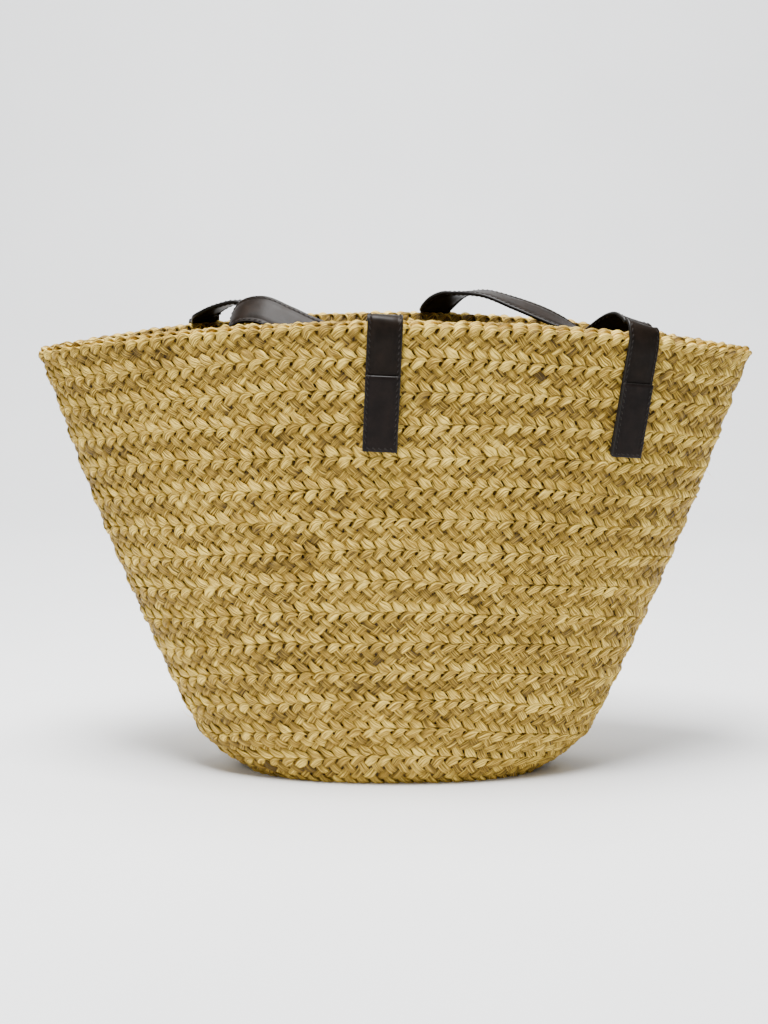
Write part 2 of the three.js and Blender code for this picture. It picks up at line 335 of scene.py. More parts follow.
@dataclass(frozen=True)
class SmoothLeather:
    """Chrome-tanned calf, dyed very dark brown and lightly polished.

    The eye gets a fine even grain, faint creases across the strap and a soft grey sheen where it
    bends.
    """

    name: str
    colour: str = "110c08"
    worn: str = "1f1711"
    ior: float = 1.5
    polish: float = 0.09
    roughness: float = 0.42
    spread: tuple = (0.08, 0.14)
    grain: float = 0.7 * MM
    grain_relief: float = 0.08 * MM
    crease: float = 9 * MM
    crease_relief: float = 0.5 * MM

    def build(self) -> bpy.types.Material:
        """Builds the finish."""
        material, tree = new_material(self.name)
        place = add_node(tree, "ShaderNodeTexCoord").outputs["Object"]
        pores = add_node(tree, "ShaderNodeTexVoronoi", {"feature": "DISTANCE_TO_EDGE"},
                         {"Vector": place, "Scale": 1 / self.grain}).outputs["Distance"]
        uneven = add_node(tree, "ShaderNodeTexNoise",
                          inputs={"Vector": place, "Scale": 1 / self.crease, "Detail": 5.0,
                                  "Roughness": 0.6}).outputs["Fac"]
        stops = [(0.35, linear(self.colour)), (0.8, linear(self.worn))]
        fine = add_bump(tree, pores, 0.25, self.grain_relief)
        add_surface(tree, {"Base Color": ramp(tree, uneven, stops),
                           "Roughness": add_gloss(tree, uneven, self.roughness, self.spread),
                           "IOR": self.ior, "Specular IOR Level": self.polish,
                           "Normal": add_bump(tree, uneven, 0.35, self.crease_relief, fine)})
        return material


@dataclass(frozen=True)
class PlainFinish:
    """A fine plain finish with a little mottling: edge paint, waxed thread or pale paper.

    The eye gets an even colour that is never quite flat.
    """

    name: str
    colour: str
    light: str
    roughness: float
    mottle: float
    polish: float = 0.5
    bump: float = 0.05 * MM
    ior: float = 1.5

    def build(self) -> bpy.types.Material:
        """Builds the finish."""
        material, tree = new_material(self.name)
        place = add_node(tree, "ShaderNodeTexCoord").outputs["Object"]
        mottle = add_node(tree, "ShaderNodeTexNoise",
                          inputs={"Vector": place, "Scale": 1 / self.mottle,
                                  "Detail": 4.0}).outputs["Fac"]
        stops = [(0.3, linear(self.colour)), (0.7, linear(self.light))]
        add_surface(tree, {"Base Color": ramp(tree, mottle, stops), "Roughness": self.roughness,
                           "IOR": self.ior, "Specular IOR Level": self.polish,
                           "Normal": add_bump(tree, mottle, 0.3, self.bump)})
        return material


# ---- The basket ----

@dataclass
class BasketShape:
    """The basket's wall as one smooth surface, measured from the frame's own courses.

    A place on it is a seam number and an angle round the bag. Seam 0 is the rim and seam 15 the
    edge of the base, and seams 15 to 17 run under the base to its middle. The seams wave a little:
    each ripple has a size, a count round the bag, a twist from seam to seam and a phase.
    """

    courses: int = 15
    wall: float = 3 * MM
    lean: float = 1.3 * MM
    rim_end_droop: float = 22 * MM
    course_gap: float = 0.4 * MM
    middle_depth: float = 0.5 * MM
    rim_pinch: float = 1.5
    base_pinch: float = 0.85
    wave: float = 0.035
    ripples: tuple = ((1.0, 5, 0.9, 0.0), (0.7, 11, -0.6, 1.3))
    probe: float = 0.01

    def __post_init__(self) -> None:
        """Reads the outline at every seam from the boxes of the courses and the base."""
        boxes = [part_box(f"wall_course_{n:02d}") for n in range(1, self.courses + 1)]
        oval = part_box("base_round")[1]
        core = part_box("base_core")[1]
        half = self.wall / 2
        ends = [low.z + self.course_gap for low, _ in boxes[:-1]]
        tops = [high.z for _, high in boxes]
        self.half_width = np.array([high.x - self.lean for _, high in boxes]
                                   + [oval.x, core.x, core.x - core.y])
        self.half_depth = np.array([high.y - half for _, high in boxes]
                                   + [oval.y, core.y, self.middle_depth])
        self.height = np.array(tops + [half, half, half])
        droops = [top - end for top, end in zip(tops[1:], ends)]
        self.droop = np.array([self.rim_end_droop] + droops + [0, 0, 0])

    def pinch(self, seam: np.ndarray) -> np.ndarray:
        """Gives the power that makes the plan a lens at the rim and a full oval at the base."""
        return np.interp(seam, [0, self.courses - 1, self.courses],
                         [self.rim_pinch, 1, self.base_pinch])

    def point(self, seam: np.ndarray, angle: np.ndarray) -> np.ndarray:
        """Places points on the middle of the wall.

        Args:
            seam: Seam numbers.
            angle: Angles round the bag, anticlockwise from above, from the right-hand fold.

        Returns:
            Rows of places.
        """
        fade = np.clip(seam, 0, 1) * np.clip(self.courses - seam, 0, 1)
        ripple = sum(size * np.sin(count * angle + twist * seam + phase)
                     for size, count, twist, phase in self.ripples)
        seam = seam + self.wave * fade * ripple
        across, deep = np.cos(angle), np.sin(angle)
        pinch = self.pinch(seam)
        wide = np.sign(across) * np.abs(across) ** np.minimum(1, pinch)
        x = monotone(self.half_width, seam) * wide
        y = monotone(self.half_depth, seam) * np.sign(deep) * np.abs(deep) ** pinch
        z = monotone(self.height, seam) - monotone(self.droop, seam) * across ** 2
        return np.stack([x, y, z], axis=-1)

    def directions(self, seam: np.ndarray, angle: np.ndarray) -> tuple[np.ndarray, np.ndarray]:
        """Finds the unit directions up the wall and straight out of it."""
        step = self.probe
        round_bag = self.point(seam, angle + step) - self.point(seam, angle - step)
        up = unit(self.point(seam - step, angle) - self.point(seam + step, angle))
        return up, unit(np.cross(round_bag, up))

    def angle_at(self, seam: float, x: float, side: int) -> float:
        """Finds the angle of a place across the bag on its front (-1) or back (1)."""
        width = float(monotone(self.half_width, np.array([seam]))[0])
        return side * math.acos(max(-1.0, min(1.0, x / width)))

    def even_angles(self, seam: float, count: int) -> np.ndarray:
        """Spreads angles evenly along a seam; the ring's length comes after them."""
        dense = np.linspace(0, 2 * np.pi, DENSE_STEPS + 1)
        run = distances(self.point(np.full_like(dense, seam), dense))
        share = np.arange(count) / count
        return np.append(np.interp(share * run[-1], run, dense), run[-1])


@dataclass
class FivePlait:
    """A flat plait of five strands, each passing over one and under one, turning at both edges.

    Time runs in half steps, one crossing to the next. A strand takes four to cross the strip and
    one to turn, and comes back the same way, so it repeats after ten. The five strands follow each
    other two apart, and in a closed ring they link into one endless strand that goes round five
    times. Each table starts where the strand leaves the first edge and steps on by half a crossing;
    the way back mirrors it. Widths and thicknesses are in millimetres, heights are shares of the
    lift. Each unevenness is the number of half steps between its random draws, then its size.
    """

    half_step: float = 4.8 * MM
    share: tuple = (0.165, 0.285, 0.40, 0.50, 0.60, 0.715, 0.835, 0.905, 0.945, 0.935)
    height: tuple = (-1.0, -0.1, 0.6, -0.1, -1.0, 0.35, 1.4, 1.45, 0.95, -0.2)
    rolled: tuple = (0.0, 0.0, 0.0, 0.0, 0.0, 0.0, 0.0, 0.03, 0.30, 0.80)
    width: tuple = (6.8, 5.6, 6.0, 5.6, 6.8, 5.0, 6.6, 6.6, 5.2, 3.7)
    thickness: tuple = (1.3, 1.5, 2.0, 1.5, 1.3, 1.8, 2.7, 2.8, 2.3, 1.8)
    uneven_share: tuple = (1.1, 0.012)
    uneven_angle: tuple = (1.2, 0.0016)
    uneven_lift: tuple = (1.3, 0.13 * MM)
    uneven_roll: tuple = (1.4, 0.13)
    uneven_width: tuple = (1.7, 0.08)
    uneven_thickness: tuple = (1.7, 0.10)
    uneven_ridge: tuple = (3.0, 1.6)
    uneven_tone: tuple = ((4.0, 0.045), (1.2, 0.04))
    ridges: tuple = ((5, 0.075), (3, 0.07))
    strand_half: float = 7 * MM
    strand_stretch: float = 1.35
    base_tone: float = 0.075
    # hollow_shade and inner_shade are painted shade taken off the tone, in the hollows where a
    # strand goes under and along the strip's recessed middle rows.
    hollow_shade: float = 0.18
    inner_shade: float = 0.10
    # The heart's tone is painted shade: the band is a dark sheet for the shade seen through the
    # chinks.
    chink_shade_tone: float = -0.3
    heart: float = 0.5 * MM
    lift: float = 0.85 * MM
    bulge: float = 0.7 * MM
    steps: int = 5
    around: int = 14

    @staticmethod
    def read(table: tuple, time: np.ndarray, mirror: float | None = None,
             climb: float = 0.0) -> np.ndarray:
        """Reads a table at times along the strand, with a smooth curve between its entries.

        Args:
            table: Ten values, half a crossing apart.
            time: Half steps along the strand.
            mirror: The sum of a value and its mirror image on the way back, or None for no mirror.
            climb: How much is added for each pass over the table.

        Returns:
            The values.
        """
        back = [mirror - value if mirror is not None else value for value in table]
        both = np.array(list(table) + back)
        at = time * 2
        i = np.floor(at).astype(int)
        s = at - i

        def entry(shift: int) -> np.ndarray:
            """Looks up the entry at a whole number of steps from each time."""
            return both[(i + shift) % 20] + climb * ((i + shift) // 10)

        before, here, there, after = (entry(shift) for shift in (-1, 0, 1, 2))
        bend = s * (3 * (here - there) + after - before)
        slope = there - before + s * (2 * before - 5 * here + 4 * there - after + bend)
        return here + 0.5 * s * slope

    def weave(self, shape: BasketShape, name: str, top: float, bottom: float, offset: float,
              seed: int, material: bpy.types.Material) -> bpy.types.Object:
        """Weaves one closed turn of the strip onto the wall.

        Args:
            shape: The wall.
            name: The piece's name.
            top: The seam number of the strip's top edge.
            bottom: The seam number of its bottom edge.
            offset: Its distance out of the wall's middle surface.
            seed: The seed of its unevenness.
            material: The straw.

        Returns:
            The new object.
        """
        chance = np.random.default_rng(seed)
        length = shape.even_angles((top + bottom) / 2, 8)[-1]
        repeats = max(3, round(length / (2 * self.half_step)))
        repeats += 1 if repeats % 5 == 0 else 0
        lap = 2 * repeats
        time = np.arange(5 * lap * self.steps) / self.steps
        even = shape.even_angles((top + bottom) / 2, lap * self.steps)[:-1]
        angle = even[(np.arange(len(time)) + round(0.5 * self.steps)) % len(even)]

        def uneven(spacing: float, size: float) -> np.ndarray:
            """Draws a smooth random course along the strand, one draw every so many half steps."""
            count = max(4, int(5 * lap / spacing))
            draws = chance.normal(0, size, count)
            at = time / (5 * lap) * count
            i = at.astype(int) % count
            blend = smooth(at - np.floor(at))
            return draws[i] * (1 - blend) + draws[(i + 1) % count] * blend

        across = self.read(self.share, time, mirror=1.0) + uneven(*self.uneven_share)
        seam = top + (bottom - top) * across
        middle = shape.point(seam, angle + uneven(*self.uneven_angle))
        up, out = shape.directions(seam, angle)
        height = self.read(self.height, time)
        puff = self.bulge * (0.5 - np.abs(2 * across - 1) ** 3)
        lift = offset + puff + self.lift * height + uneven(*self.uneven_lift)
        middle = middle + out * lift[:, None]
        travel = unit(np.roll(middle, -1, axis=0) - np.roll(middle, 1, axis=0))
        roll = np.pi * self.read(self.rolled, time, climb=1.0) + uneven(*self.uneven_roll)
        face = out * np.cos(roll)[:, None] - up * np.sin(roll)[:, None]
        side = unit(np.cross(face, travel))
        face = np.cross(travel, side)
        width = self.read(self.width, time) * MM * (1 + uneven(*self.uneven_width))
        thick = self.read(self.thickness, time) * MM * (1 + uneven(*self.uneven_thickness))
        spin = circle(self.around)
        fold = 1 + sum(np.sin(spin[None, :] * count + uneven(*self.uneven_ridge)[:, None]) * size
                       for count, size in self.ridges)
        ring = loops(middle, side, face, np.cos(spin) * fold * width[:, None] / 2,
                     np.sin(spin) * fold * thick[:, None] / 2)
        round_strand = spin / np.pi * self.strand_half
        along = time * self.half_step * self.strand_stretch
        uv = np.stack([np.broadcast_to(round_strand, ring.shape[:2]),
                       np.broadcast_to(along[:, None], ring.shape[:2])], axis=-1)
        # Painted shade in the tone: darker where a strand dips under its neighbours and along the
        # recessed middle of the strip; slow and quick are random tone.
        hollow = np.clip(0.5 - 0.5 * height, 0, 1) ** 2
        inner = 1 - np.abs(2 * across - 1)
        slow, quick = (uneven(*pair) for pair in self.uneven_tone)
        tone_and_shade = (self.base_tone + slow + quick
                - self.hollow_shade * hollow - self.inner_shade * inner)
        heart, heart_faces = self.chink_shade_band(shape, top, bottom, offset, even[::self.steps])
        vertices = np.concatenate([ring.reshape(-1, 3), heart])
        uv = np.concatenate([uv.reshape(-1, 2), heart[:, :2]])
        # The heart band gets one dark tone all over: painted shade in the chinks.
        tone_and_shade = np.concatenate([np.repeat(tone_and_shade, self.around), np.full(len(heart), self.chink_shade_tone)])
        faces = np.concatenate([grid_faces(len(time), self.around, closed=True),
                                heart_faces + len(time) * self.around])
        return add_object(name, vertices, faces, [material], uv, tone_and_shade)

    def chink_shade_band(self, shape: BasketShape, top: float, bottom: float, offset: float,
                   angles: np.ndarray) -> tuple[np.ndarray, np.ndarray]:
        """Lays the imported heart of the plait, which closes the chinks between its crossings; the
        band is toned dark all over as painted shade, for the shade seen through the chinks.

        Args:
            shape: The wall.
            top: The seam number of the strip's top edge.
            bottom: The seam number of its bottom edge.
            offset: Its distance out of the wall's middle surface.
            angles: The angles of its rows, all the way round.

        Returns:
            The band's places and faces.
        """
        shares = np.array([0.03, 0.35, 0.65, 0.97, 0.97, 0.65, 0.35, 0.03])
        sides = np.repeat([1, -1], 4) * self.heart / 2
        seam = np.tile(top + (bottom - top) * shares, len(angles))
        angle = np.repeat(angles, len(shares))
        _, out = shape.directions(seam, angle)
        places = shape.point(seam, angle) + out * (offset + np.tile(sides, len(angles)))[:, None]
        return places, grid_faces(len(angles), len(shares), closed=True)


@dataclass
class Basket:
    """The straw body: base, fifteen wall courses, the facing inside the rim, and loose fibres."""

    shape: BasketShape
    plait: FivePlait = field(default_factory=FivePlait)
    facing_top: float = -0.1
    facing_bottom: float = 0.85
    facing_offset: float = -3.15 * MM
    base_offset: float = -1.3 * MM
    hairs: int = 70
    hair_seed: int = 99
    hair_seams: tuple = (0.05, 13)
    hair_length: tuple = (6, 17)
    hair_bow: tuple = (0.08, 0.24)
    hair_radius: float = 0.16 * MM
    hair_root: float = 1.2 * MM
    hair_tone: float = 0.36
    hair_grain: float = 0.4 * MM

    def build(self, straw: bpy.types.Material, facing: bpy.types.Material) -> None:
        """Weaves every strip and hides the plain solid that it stands for.

        Args:
            straw: The finish of the wall and base.
            facing: The finish of the strip inside the rim.
        """
        last = self.shape.courses
        strips = [(f"wall_course_{n:02d}", n - 1, n) for n in range(1, last + 1)]
        strips += [("base_round", last, last + 1), ("base_core", last + 1, last + 2)]
        for seed, (node, top, bottom) in enumerate(strips):
            offset = self.base_offset if node.startswith("base") else 0.0
            piece = self.plait.weave(self.shape, f"{node}_plait", top, bottom, offset, seed, straw)
            settle(piece, node)
        piece = self.plait.weave(self.shape, "rim_facing_plait", self.facing_top,
                                 self.facing_bottom, self.facing_offset, len(strips), facing)
        settle(piece, "rim_facing")
        fibres = self.fibres(straw)
        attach(fibres, "root")

    def fibres(self, straw: bpy.types.Material) -> bpy.types.Object:
        """Adds the odd loose hair of straw that has worked out of the weave, all in one object."""
        chance = np.random.default_rng(self.hair_seed)
        sides, rows = 4, 9
        share = np.linspace(0, 1, rows)[:, None]
        radius = self.hair_radius * (1 - 0.75 * share)
        wide, deep = np.cos(circle(sides)) * radius, np.sin(circle(sides)) * radius
        points, faces = [], []
        for hair in range(self.hairs):
            seam = np.array([chance.uniform(*self.hair_seams)])
            angle = np.array([chance.uniform(0, 2 * np.pi)])
            up, out = self.shape.directions(seam, angle)
            way = chance.choice([-1, 1])
            along = unit(np.cross(up, out)) * way + up * chance.uniform(-0.8, 0.8)
            reach = chance.uniform(*self.hair_length) * MM
            start = self.shape.point(seam, angle) + out * self.hair_root
            bow = np.sin(share * np.pi * 0.75) * chance.uniform(*self.hair_bow) * reach
            sway = share ** 2 * chance.uniform(-0.3, 0.3) * reach
            path = start + unit(along) * share * reach + out * bow + up * sway
            points.append(loops(path, up, out, wide, deep).reshape(-1, 3))
            faces.append(grid_faces(rows, sides, closed=False) + hair * rows * sides)
        vertices = np.concatenate(points)
        uv = np.zeros((len(vertices), 2))
        uv[:, 1] = np.arange(len(vertices)) * self.hair_grain
        tone_and_shade = np.full(len(vertices), self.hair_tone)
        return add_object("loose_fibres", vertices, np.concatenate(faces), [straw], uv, tone_and_shade)


# ---- The handles ----

class Side(Enum):
    """Which wall a handle is sewn to, as the sign of its Y."""

    FRONT = -1
    BACK = 1


@dataclass(frozen=True)
class StrapSection:
    """The cross-section of a two-layer strap.

    Its faces are flat with a slight crown and a pressed line near each edge, and its edges round.
    """

    width: float = 23 * MM
    thickness: float = 2.6 * MM
    crease_inset: float = 3.2 * MM
    crease_half: float = 0.5 * MM
    crease_depth: float = 0.22 * MM
    crown: tuple = (0.05 * MM, 0.08 * MM)
    edge_round: float = 0.75 * MM
    edge_points: int = 7

    def points(self) -> tuple[np.ndarray, np.ndarray]:
        """Lists the outline once round.

        Returns:
            Pairs of distance across and out from the middle, and for each the share of edge paint.
        """
        half, deep = self.width / 2, self.thickness / 2
        groove, pressed = half - self.crease_inset, deep - self.crease_depth
        near, top = (deep + rise for rise in self.crown)
        face = [(-groove - self.crease_half, deep), (-groove, pressed),
                (-groove + self.crease_half, deep), (-groove / 2, near), (0, top),
                (groove / 2, near), (groove - self.crease_half, deep), (groove, pressed),
                (groove + self.crease_half, deep)]
        edge = []
        for angle in np.linspace(math.pi / 2, -math.pi / 2, self.edge_points):
            bulge = max(0.0, math.cos(angle)) ** 0.8
            edge.append((half - self.edge_round * (1 - bulge), deep * math.sin(angle)))
        outline = face + edge + [(-x, -y) for x, y in face + edge]
        painted = ([0] * len(face) + [1] * len(edge)) * 2
        return np.array(outline), np.array(painted)

@dataclass(frozen=True)
class Stitch:
    """One slanted stitch of waxed thread, fat in the middle and sunk at both ends."""

    pitch: float = 3.9 * MM
    inset: float = 1.9 * MM
    half_length: float = 1.5 * MM
    radius: float = 0.36 * MM
    taper: tuple = (0.35, 0.9, 1, 1, 0.9, 0.35)
    slant: float = 0.42
    arch: float = 0.28 * MM
    sides: int = 6
@dataclass
class Leg:
    """One leg of a handle: where it lies on the wall and how it passes over the rim.

    Just inside the rim it dips. A slack leg also rises clear of the rim and tilts to one side.
    """

    side: int
    x: float
    lean: float
    dip: float
    tilt: float
    rise: float


@dataclass
class Handle:
    """One leather strap, sewn to the wall at both ends and folded over the rim into the mouth."""

    label: str
    side: Side
    centre: float
    leans: tuple[float, float]
    dips: tuple[float, float]
    tilts: tuple[float, float]
    rises: tuple[float, float]
    route: tuple
    shoulder: tuple = ((4.9, -4.8, 0.0), (4.4, -2.1, 0.35), (2.8, -0.4, 0.75), (0.2, 0.3, 1.0),
                       (-2.9, 0.2, 1.0))
    dip_reach: float = 6 * MM
    spacing: float = 170 * MM
    end_seam: float = 3.75
    fold_seam: float = 0.3
    wall_knots: int = 9
    standoff: float = 1.3 * MM
    fold_rise: float = 5.4 * MM
    fold_inset: float = 1.5 * MM
    bend_half: float = 3 * MM
    bend_climb: float = 0.3
    section: StrapSection = StrapSection()
    station: float = 1.6 * MM
    end_bevel: float = 0.5 * MM
    end_size: tuple = (0.93, 0.6)
    stitch: Stitch = Stitch()
    strap_sink: float = 0.12 * MM
    patch_top: float = 1.5
    patch_overhang: float = 0.02
    patch_gap: float = 0.1 * MM
    patch_rows: int = 24
    patch_section: StrapSection = StrapSection(thickness=1.6 * MM, crease_depth=0.12 * MM)
    patch_sink: float = 0.1 * MM
    foot_rows: int = 12

    def legs(self) -> list[Leg]:
        """Lists the left and the right leg."""
        half = self.spacing / 2
        return [Leg(self.side.value, self.centre + sign * half, *rest)
                for sign, *rest in zip((-1, 1), self.leans, self.dips, self.tilts, self.rises)]

    def on_wall(self, shape: BasketShape, leg: Leg, seam: float, distance: float) -> tuple:
        """Finds a leg's place on the wall, the direction round the bag, and the one out of it."""
        x = leg.x - leg.lean * seam / self.end_seam
        seams, angles = np.array([seam]), np.array([shape.angle_at(seam, x, leg.side)])
        up, out = shape.directions(seams, angles)
        place = shape.point(seams, angles) + out * distance
        return place[0], np.cross(up, out)[0], out[0]

    def fold(self, shape: BasketShape, leg: Leg) -> tuple[np.ndarray, np.ndarray]:
        """Finds the point that the strap folds about, and the level direction outwards there."""
        place, _, out = self.on_wall(shape, leg, 0.0, 0.0)
        outward = unit(np.array([out[0], out[1], 0.0]))
        return place - outward * self.fold_inset + UP * self.fold_rise, outward

    def stations(self, shape: BasketShape) -> np.ndarray:
        """Follows the strap from its left end to its right end.

        Args:
            shape: The wall.

        Returns:
            Rows of place and direction across, six numbers each, at even distances.
        """
        left, right = self.legs()
        axis = unit(self.fold(shape, right)[0] - self.fold(shape, left)[0])
        turn = axis * -self.side.value
        start = self.leg_rows(shape, left, turn)
        end = self.leg_rows(shape, right, turn)[::-1]
        end[:, 3:] *= -1
        middle = np.array(self.route) * np.array([MM, MM, MM, 1, 1, 1])
        knots = np.concatenate([start, middle, end])
        return even_steps(spline(knots, np.linspace(0, 1, DENSE_STEPS)), self.station)

    def leg_rows(self, shape: BasketShape, leg: Leg, turn: np.ndarray) -> np.ndarray:
        """Lists the knots of one leg, from its sewn end over the rim to just inside it."""
        distance = shape.wall / 2 + self.standoff + self.section.thickness / 2
        ends = (self.end_seam, self.fold_seam)
        rows = self.wall_rows(shape, leg, distance, ends, self.wall_knots)
        fold, outward = self.fold(shape, leg)
        across = rows[-1][3:]
        turn = unit(turn + UP * leg.tilt)
        for out, up, share in self.shoulder:
            place = fold + outward * out * MM + UP * (up * MM + leg.rise * share)
            rows.append(np.concatenate([place, across * (1 - share) + turn * share]))
        place = fold - outward * self.dip_reach + UP * (leg.rise - leg.dip * MM)
        rows.append(np.concatenate([place, turn]))
        return np.array(rows)

    def wall_rows(self, shape: BasketShape, leg: Leg, distance: float, seams: tuple[float, float],
                  count: int) -> list[np.ndarray]:
        """Lists rows of place and direction across, along a leg from one seam to another."""
        spots = (self.on_wall(shape, leg, seam, distance) for seam in np.linspace(*seams, count))
        return [np.concatenate([place, across]) for place, across, _ in spots]

    @staticmethod
    def frames(rows: np.ndarray) -> tuple[np.ndarray, np.ndarray, np.ndarray]:
        """Squares up a strap's rows: places, directions across, and out of the grain side."""
        places = rows[:, :3]
        travel = unit(np.gradient(places, axis=0))
        across = rows[:, 3:] - travel * np.sum(rows[:, 3:] * travel, axis=1, keepdims=True)
        across = unit(across)
        return places, across, np.cross(across, travel)

    def sweep(self, name: str, rows: np.ndarray, section: StrapSection,
              materials: list) -> bpy.types.Object:
        """Sweeps a strap section along stations and closes both ends with a rounded edge.

        Args:
            name: The piece's name.
            rows: The stations.
            section: The cross-section.
            materials: The leather and the edge paint.

        Returns:
            The new object.
        """
        extra = 2
        places, across, face = (np.pad(table, ((extra, extra), (0, 0)), mode="edge")
                                for table in self.frames(rows))
        places[:extra] -= unit(places[extra + 1] - places[extra]) * self.end_bevel
        places[-extra:] += unit(places[-extra - 1] - places[-extra - 2]) * self.end_bevel
        body = np.ones(len(rows))
        shrink, flat = (np.concatenate([[0.0, size], body, [size, 0.0]])[:, None]
                        for size in self.end_size)
        outline, painted = section.points()
        ring = loops(places, across, face, outline[:, 0] * shrink, outline[:, 1] * flat)
        faces = grid_faces(len(places), len(outline), closed=False)[:, ::-1]
        row, column = np.divmod(np.arange(len(faces)), len(outline))
        slots = painted[column] * painted[(column + 1) % len(outline)]
        slots = np.where((row < extra) | (row > len(places) - extra - 2), 1, slots)
        return add_object(name, ring.reshape(-1, 3), faces, materials, slots=slots)

    def stitches(self, name: str, lines: list[tuple[np.ndarray, np.ndarray, np.ndarray]],
                 thread: bpy.types.Material) -> bpy.types.Object:
        """Sews slanted stitches along lines on the leather.

        Args:
            name: The piece's name.
            lines: For each line its places, directions across it and directions out of the leather.
            thread: The thread's finish.

        Returns:
            One object with every stitch.
        """
        size = self.stitch
        fat = size.radius * np.array(size.taper)[:, None]
        sides, rows = size.sides, len(fat)
        share = np.linspace(-1, 1, rows)[:, None]
        wide, deep = np.cos(circle(sides)) * fat, np.sin(circle(sides)) * fat
        points, faces = [], []
        for line in lines:
            run = distances(line[0])
            for at in np.arange(size.pitch / 2, run[-1], size.pitch):
                place, across, out = (np.array([np.interp(at, run, column) for column in table.T])
                                      for table in line)
                i = min(np.searchsorted(run, at), len(run) - 1)
                along = unit(unit(line[0][i] - line[0][i - 1]) + across * size.slant)
                lie = unit(np.cross(out, along))
                path = (place + along * share * size.half_length
                        + out * size.arch * (1 - 1.5 * share ** 2))
                ring = loops(path, lie[None], unit(out)[None], wide, deep)
                faces.append(grid_faces(rows, sides, closed=False) + len(points) * rows * sides)
                points.append(ring.reshape(-1, 3))
        log.info("%s: %d stitches", name, len(points))
        return add_object(name, np.concatenate(points), np.concatenate(faces), [thread])

    def build(self, shape: BasketShape, finishes: dict[str, bpy.types.Material]) -> None:
        """Builds the strap, its stitching, and the sewn patch on each end.

        Args:
            shape: The wall.
            finishes: The leather, patch, edge and thread finishes.
        """
        rows = self.stations(shape)
        strap = self.sweep(f"{self.label}_strap", rows, self.section,
                           [finishes["leather"], finishes["edge"]])
        sew = self.stitches(f"{self.label}_strap_stitches", self.edge_lines(rows),
                            finishes["thread"])
        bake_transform(strap)
        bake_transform(sew)
        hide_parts(f"{self.label}_handle_strap", f"{self.label}_left_strap_end",
                    f"{self.label}_right_strap_end")
        log.info("%s: %.0f mm of strap", strap.name, len(rows) * self.station / MM)
        for hand, leg in zip(("left", "right"), self.legs()):
            self.patch(shape, hand, leg, finishes)

    def edge_lines(self, rows: np.ndarray) -> list[tuple]:
        """Lists the stitch lines along both edges of the strap, on its grain side and its back."""
        places, across, face = self.frames(rows)
        reach = self.section.width / 2 - self.stitch.inset
        skin = self.section.thickness / 2 - self.strap_sink
        return [(places + across * edge * reach + face * front * skin, across * edge, face * front)
                for edge in (-1, 1) for front in (-1, 1)]

    def patch(self, shape: BasketShape, hand: str, leg: Leg, finishes: dict) -> None:
        """Lays the end patch over one sewn end and stitches it on three sides.

        Args:
            shape: The wall.
            hand: "left" or "right".
            leg: The leg it lies on.
            finishes: The leather, patch, edge and thread finishes.
        """
        section = self.patch_section
        distance = (shape.wall / 2 + self.standoff + self.section.thickness + self.patch_gap
                    + section.thickness / 2)
        ends = (self.end_seam + self.patch_overhang, self.patch_top)
        rows = np.array(self.wall_rows(shape, leg, distance, ends, self.patch_rows))
        name = f"{self.label}_{hand}"
        piece = self.sweep(f"{name}_end_patch", rows, section,
                           [finishes["patch"], finishes["edge"]])
        settle(piece, f"{name}_patch")
        places, across, face = self.frames(rows)
        reach = section.width / 2 - self.stitch.inset
        skin = face * (section.thickness / 2 - self.patch_sink)
        lines = [((places + across * edge * reach + skin)[2:], (across * edge)[2:], face[2:])
                 for edge in (-1, 1)]
        span = np.linspace(-1, 1, self.foot_rows)[:, None]
        travel = unit(places[1] - places[0])
        foot = places[0] + travel * self.stitch.inset + across[0] * span * reach + skin[0]
        lines.append((foot, np.tile(-travel, (self.foot_rows, 1)),
                      np.tile(face[0], (self.foot_rows, 1))))
        sew = self.stitches(f"{name}_patch_stitches", lines, finishes["thread"])
        settle(sew, f"{name}_stitching")


# Routes of the two straps inside the mouth, from the left leg to the right leg, in millimetres.
# Each row is a point on the middle of the strap, then the direction across its width.
FRONT_ROUTE = (
    (-15, -68, 314, 0.9, 0.3, 0.3),
    (-31, -50, 307, 0.5, 0.6, 0.6),
    (-53, -38, 311, 0.1, 0.6, 0.8),
    (-74, -29, 320, 0, 0.6, 0.8),
    (-92, -22, 327, 0, 0.65, 0.75),
    (-106, -16, 325, 0, 0.8, 0.6),
    (-113, -11, 316, 0, 0.9, 0.3),
    (-112, -5, 303, 0, 1, 0),
    (-99, 1, 290, 0, 1, 0),
    (-70, 7, 276, 0, 0.95, 0.3),
    (-24, 9, 264, 0, 0.7, 0.7),
    (30, 6, 259, 0, 0.3, 1),
    (80, -3, 267, 0, 0, 1),
    (114, -15, 286, 0, 0, 1),
    (135, -27, 304, -0.2, 0, 1),
    (148, -37, 315.5, -0.6, -0.2, 0.8),
    (157, -45.5, 320.5, -0.9, -0.25, 0.3),
)
BACK_ROUTE = (
    (-133, 57, 323.5, -0.85, -0.5, -0.2),
    (-122, 51.5, 328.5, -0.5, -0.85, -0.05),
    (-110, 47, 330.5, -0.2, -1, 0),
    (-96, 45, 323, 0, -1, -0.2),
    (-78, 45, 311, 0, -0.8, -0.6),
    (-45, 47, 300, 0, -0.1, -1),
    (10, 47, 293, 0, 0.6, -0.8),
    (67, 43, 289, 0, 0.95, -0.3),
    (106, 37, 287, 0, 1, 0),
    (129, 34, 290, 0, 1, 0),
    (137, 33, 299, 0, 1, 0),
    (131, 35, 309, 0, 1, 0.2),
    (113, 40, 319, 0, 0.95, 0.4),
    (89, 49, 329, 0.1, 0.95, 0.3),
    (65, 61, 336.5, 0.3, 0.95, 0.1),
    (46, 74, 335, 0.85, 0.5, 0),
)


# ---- Studio ----

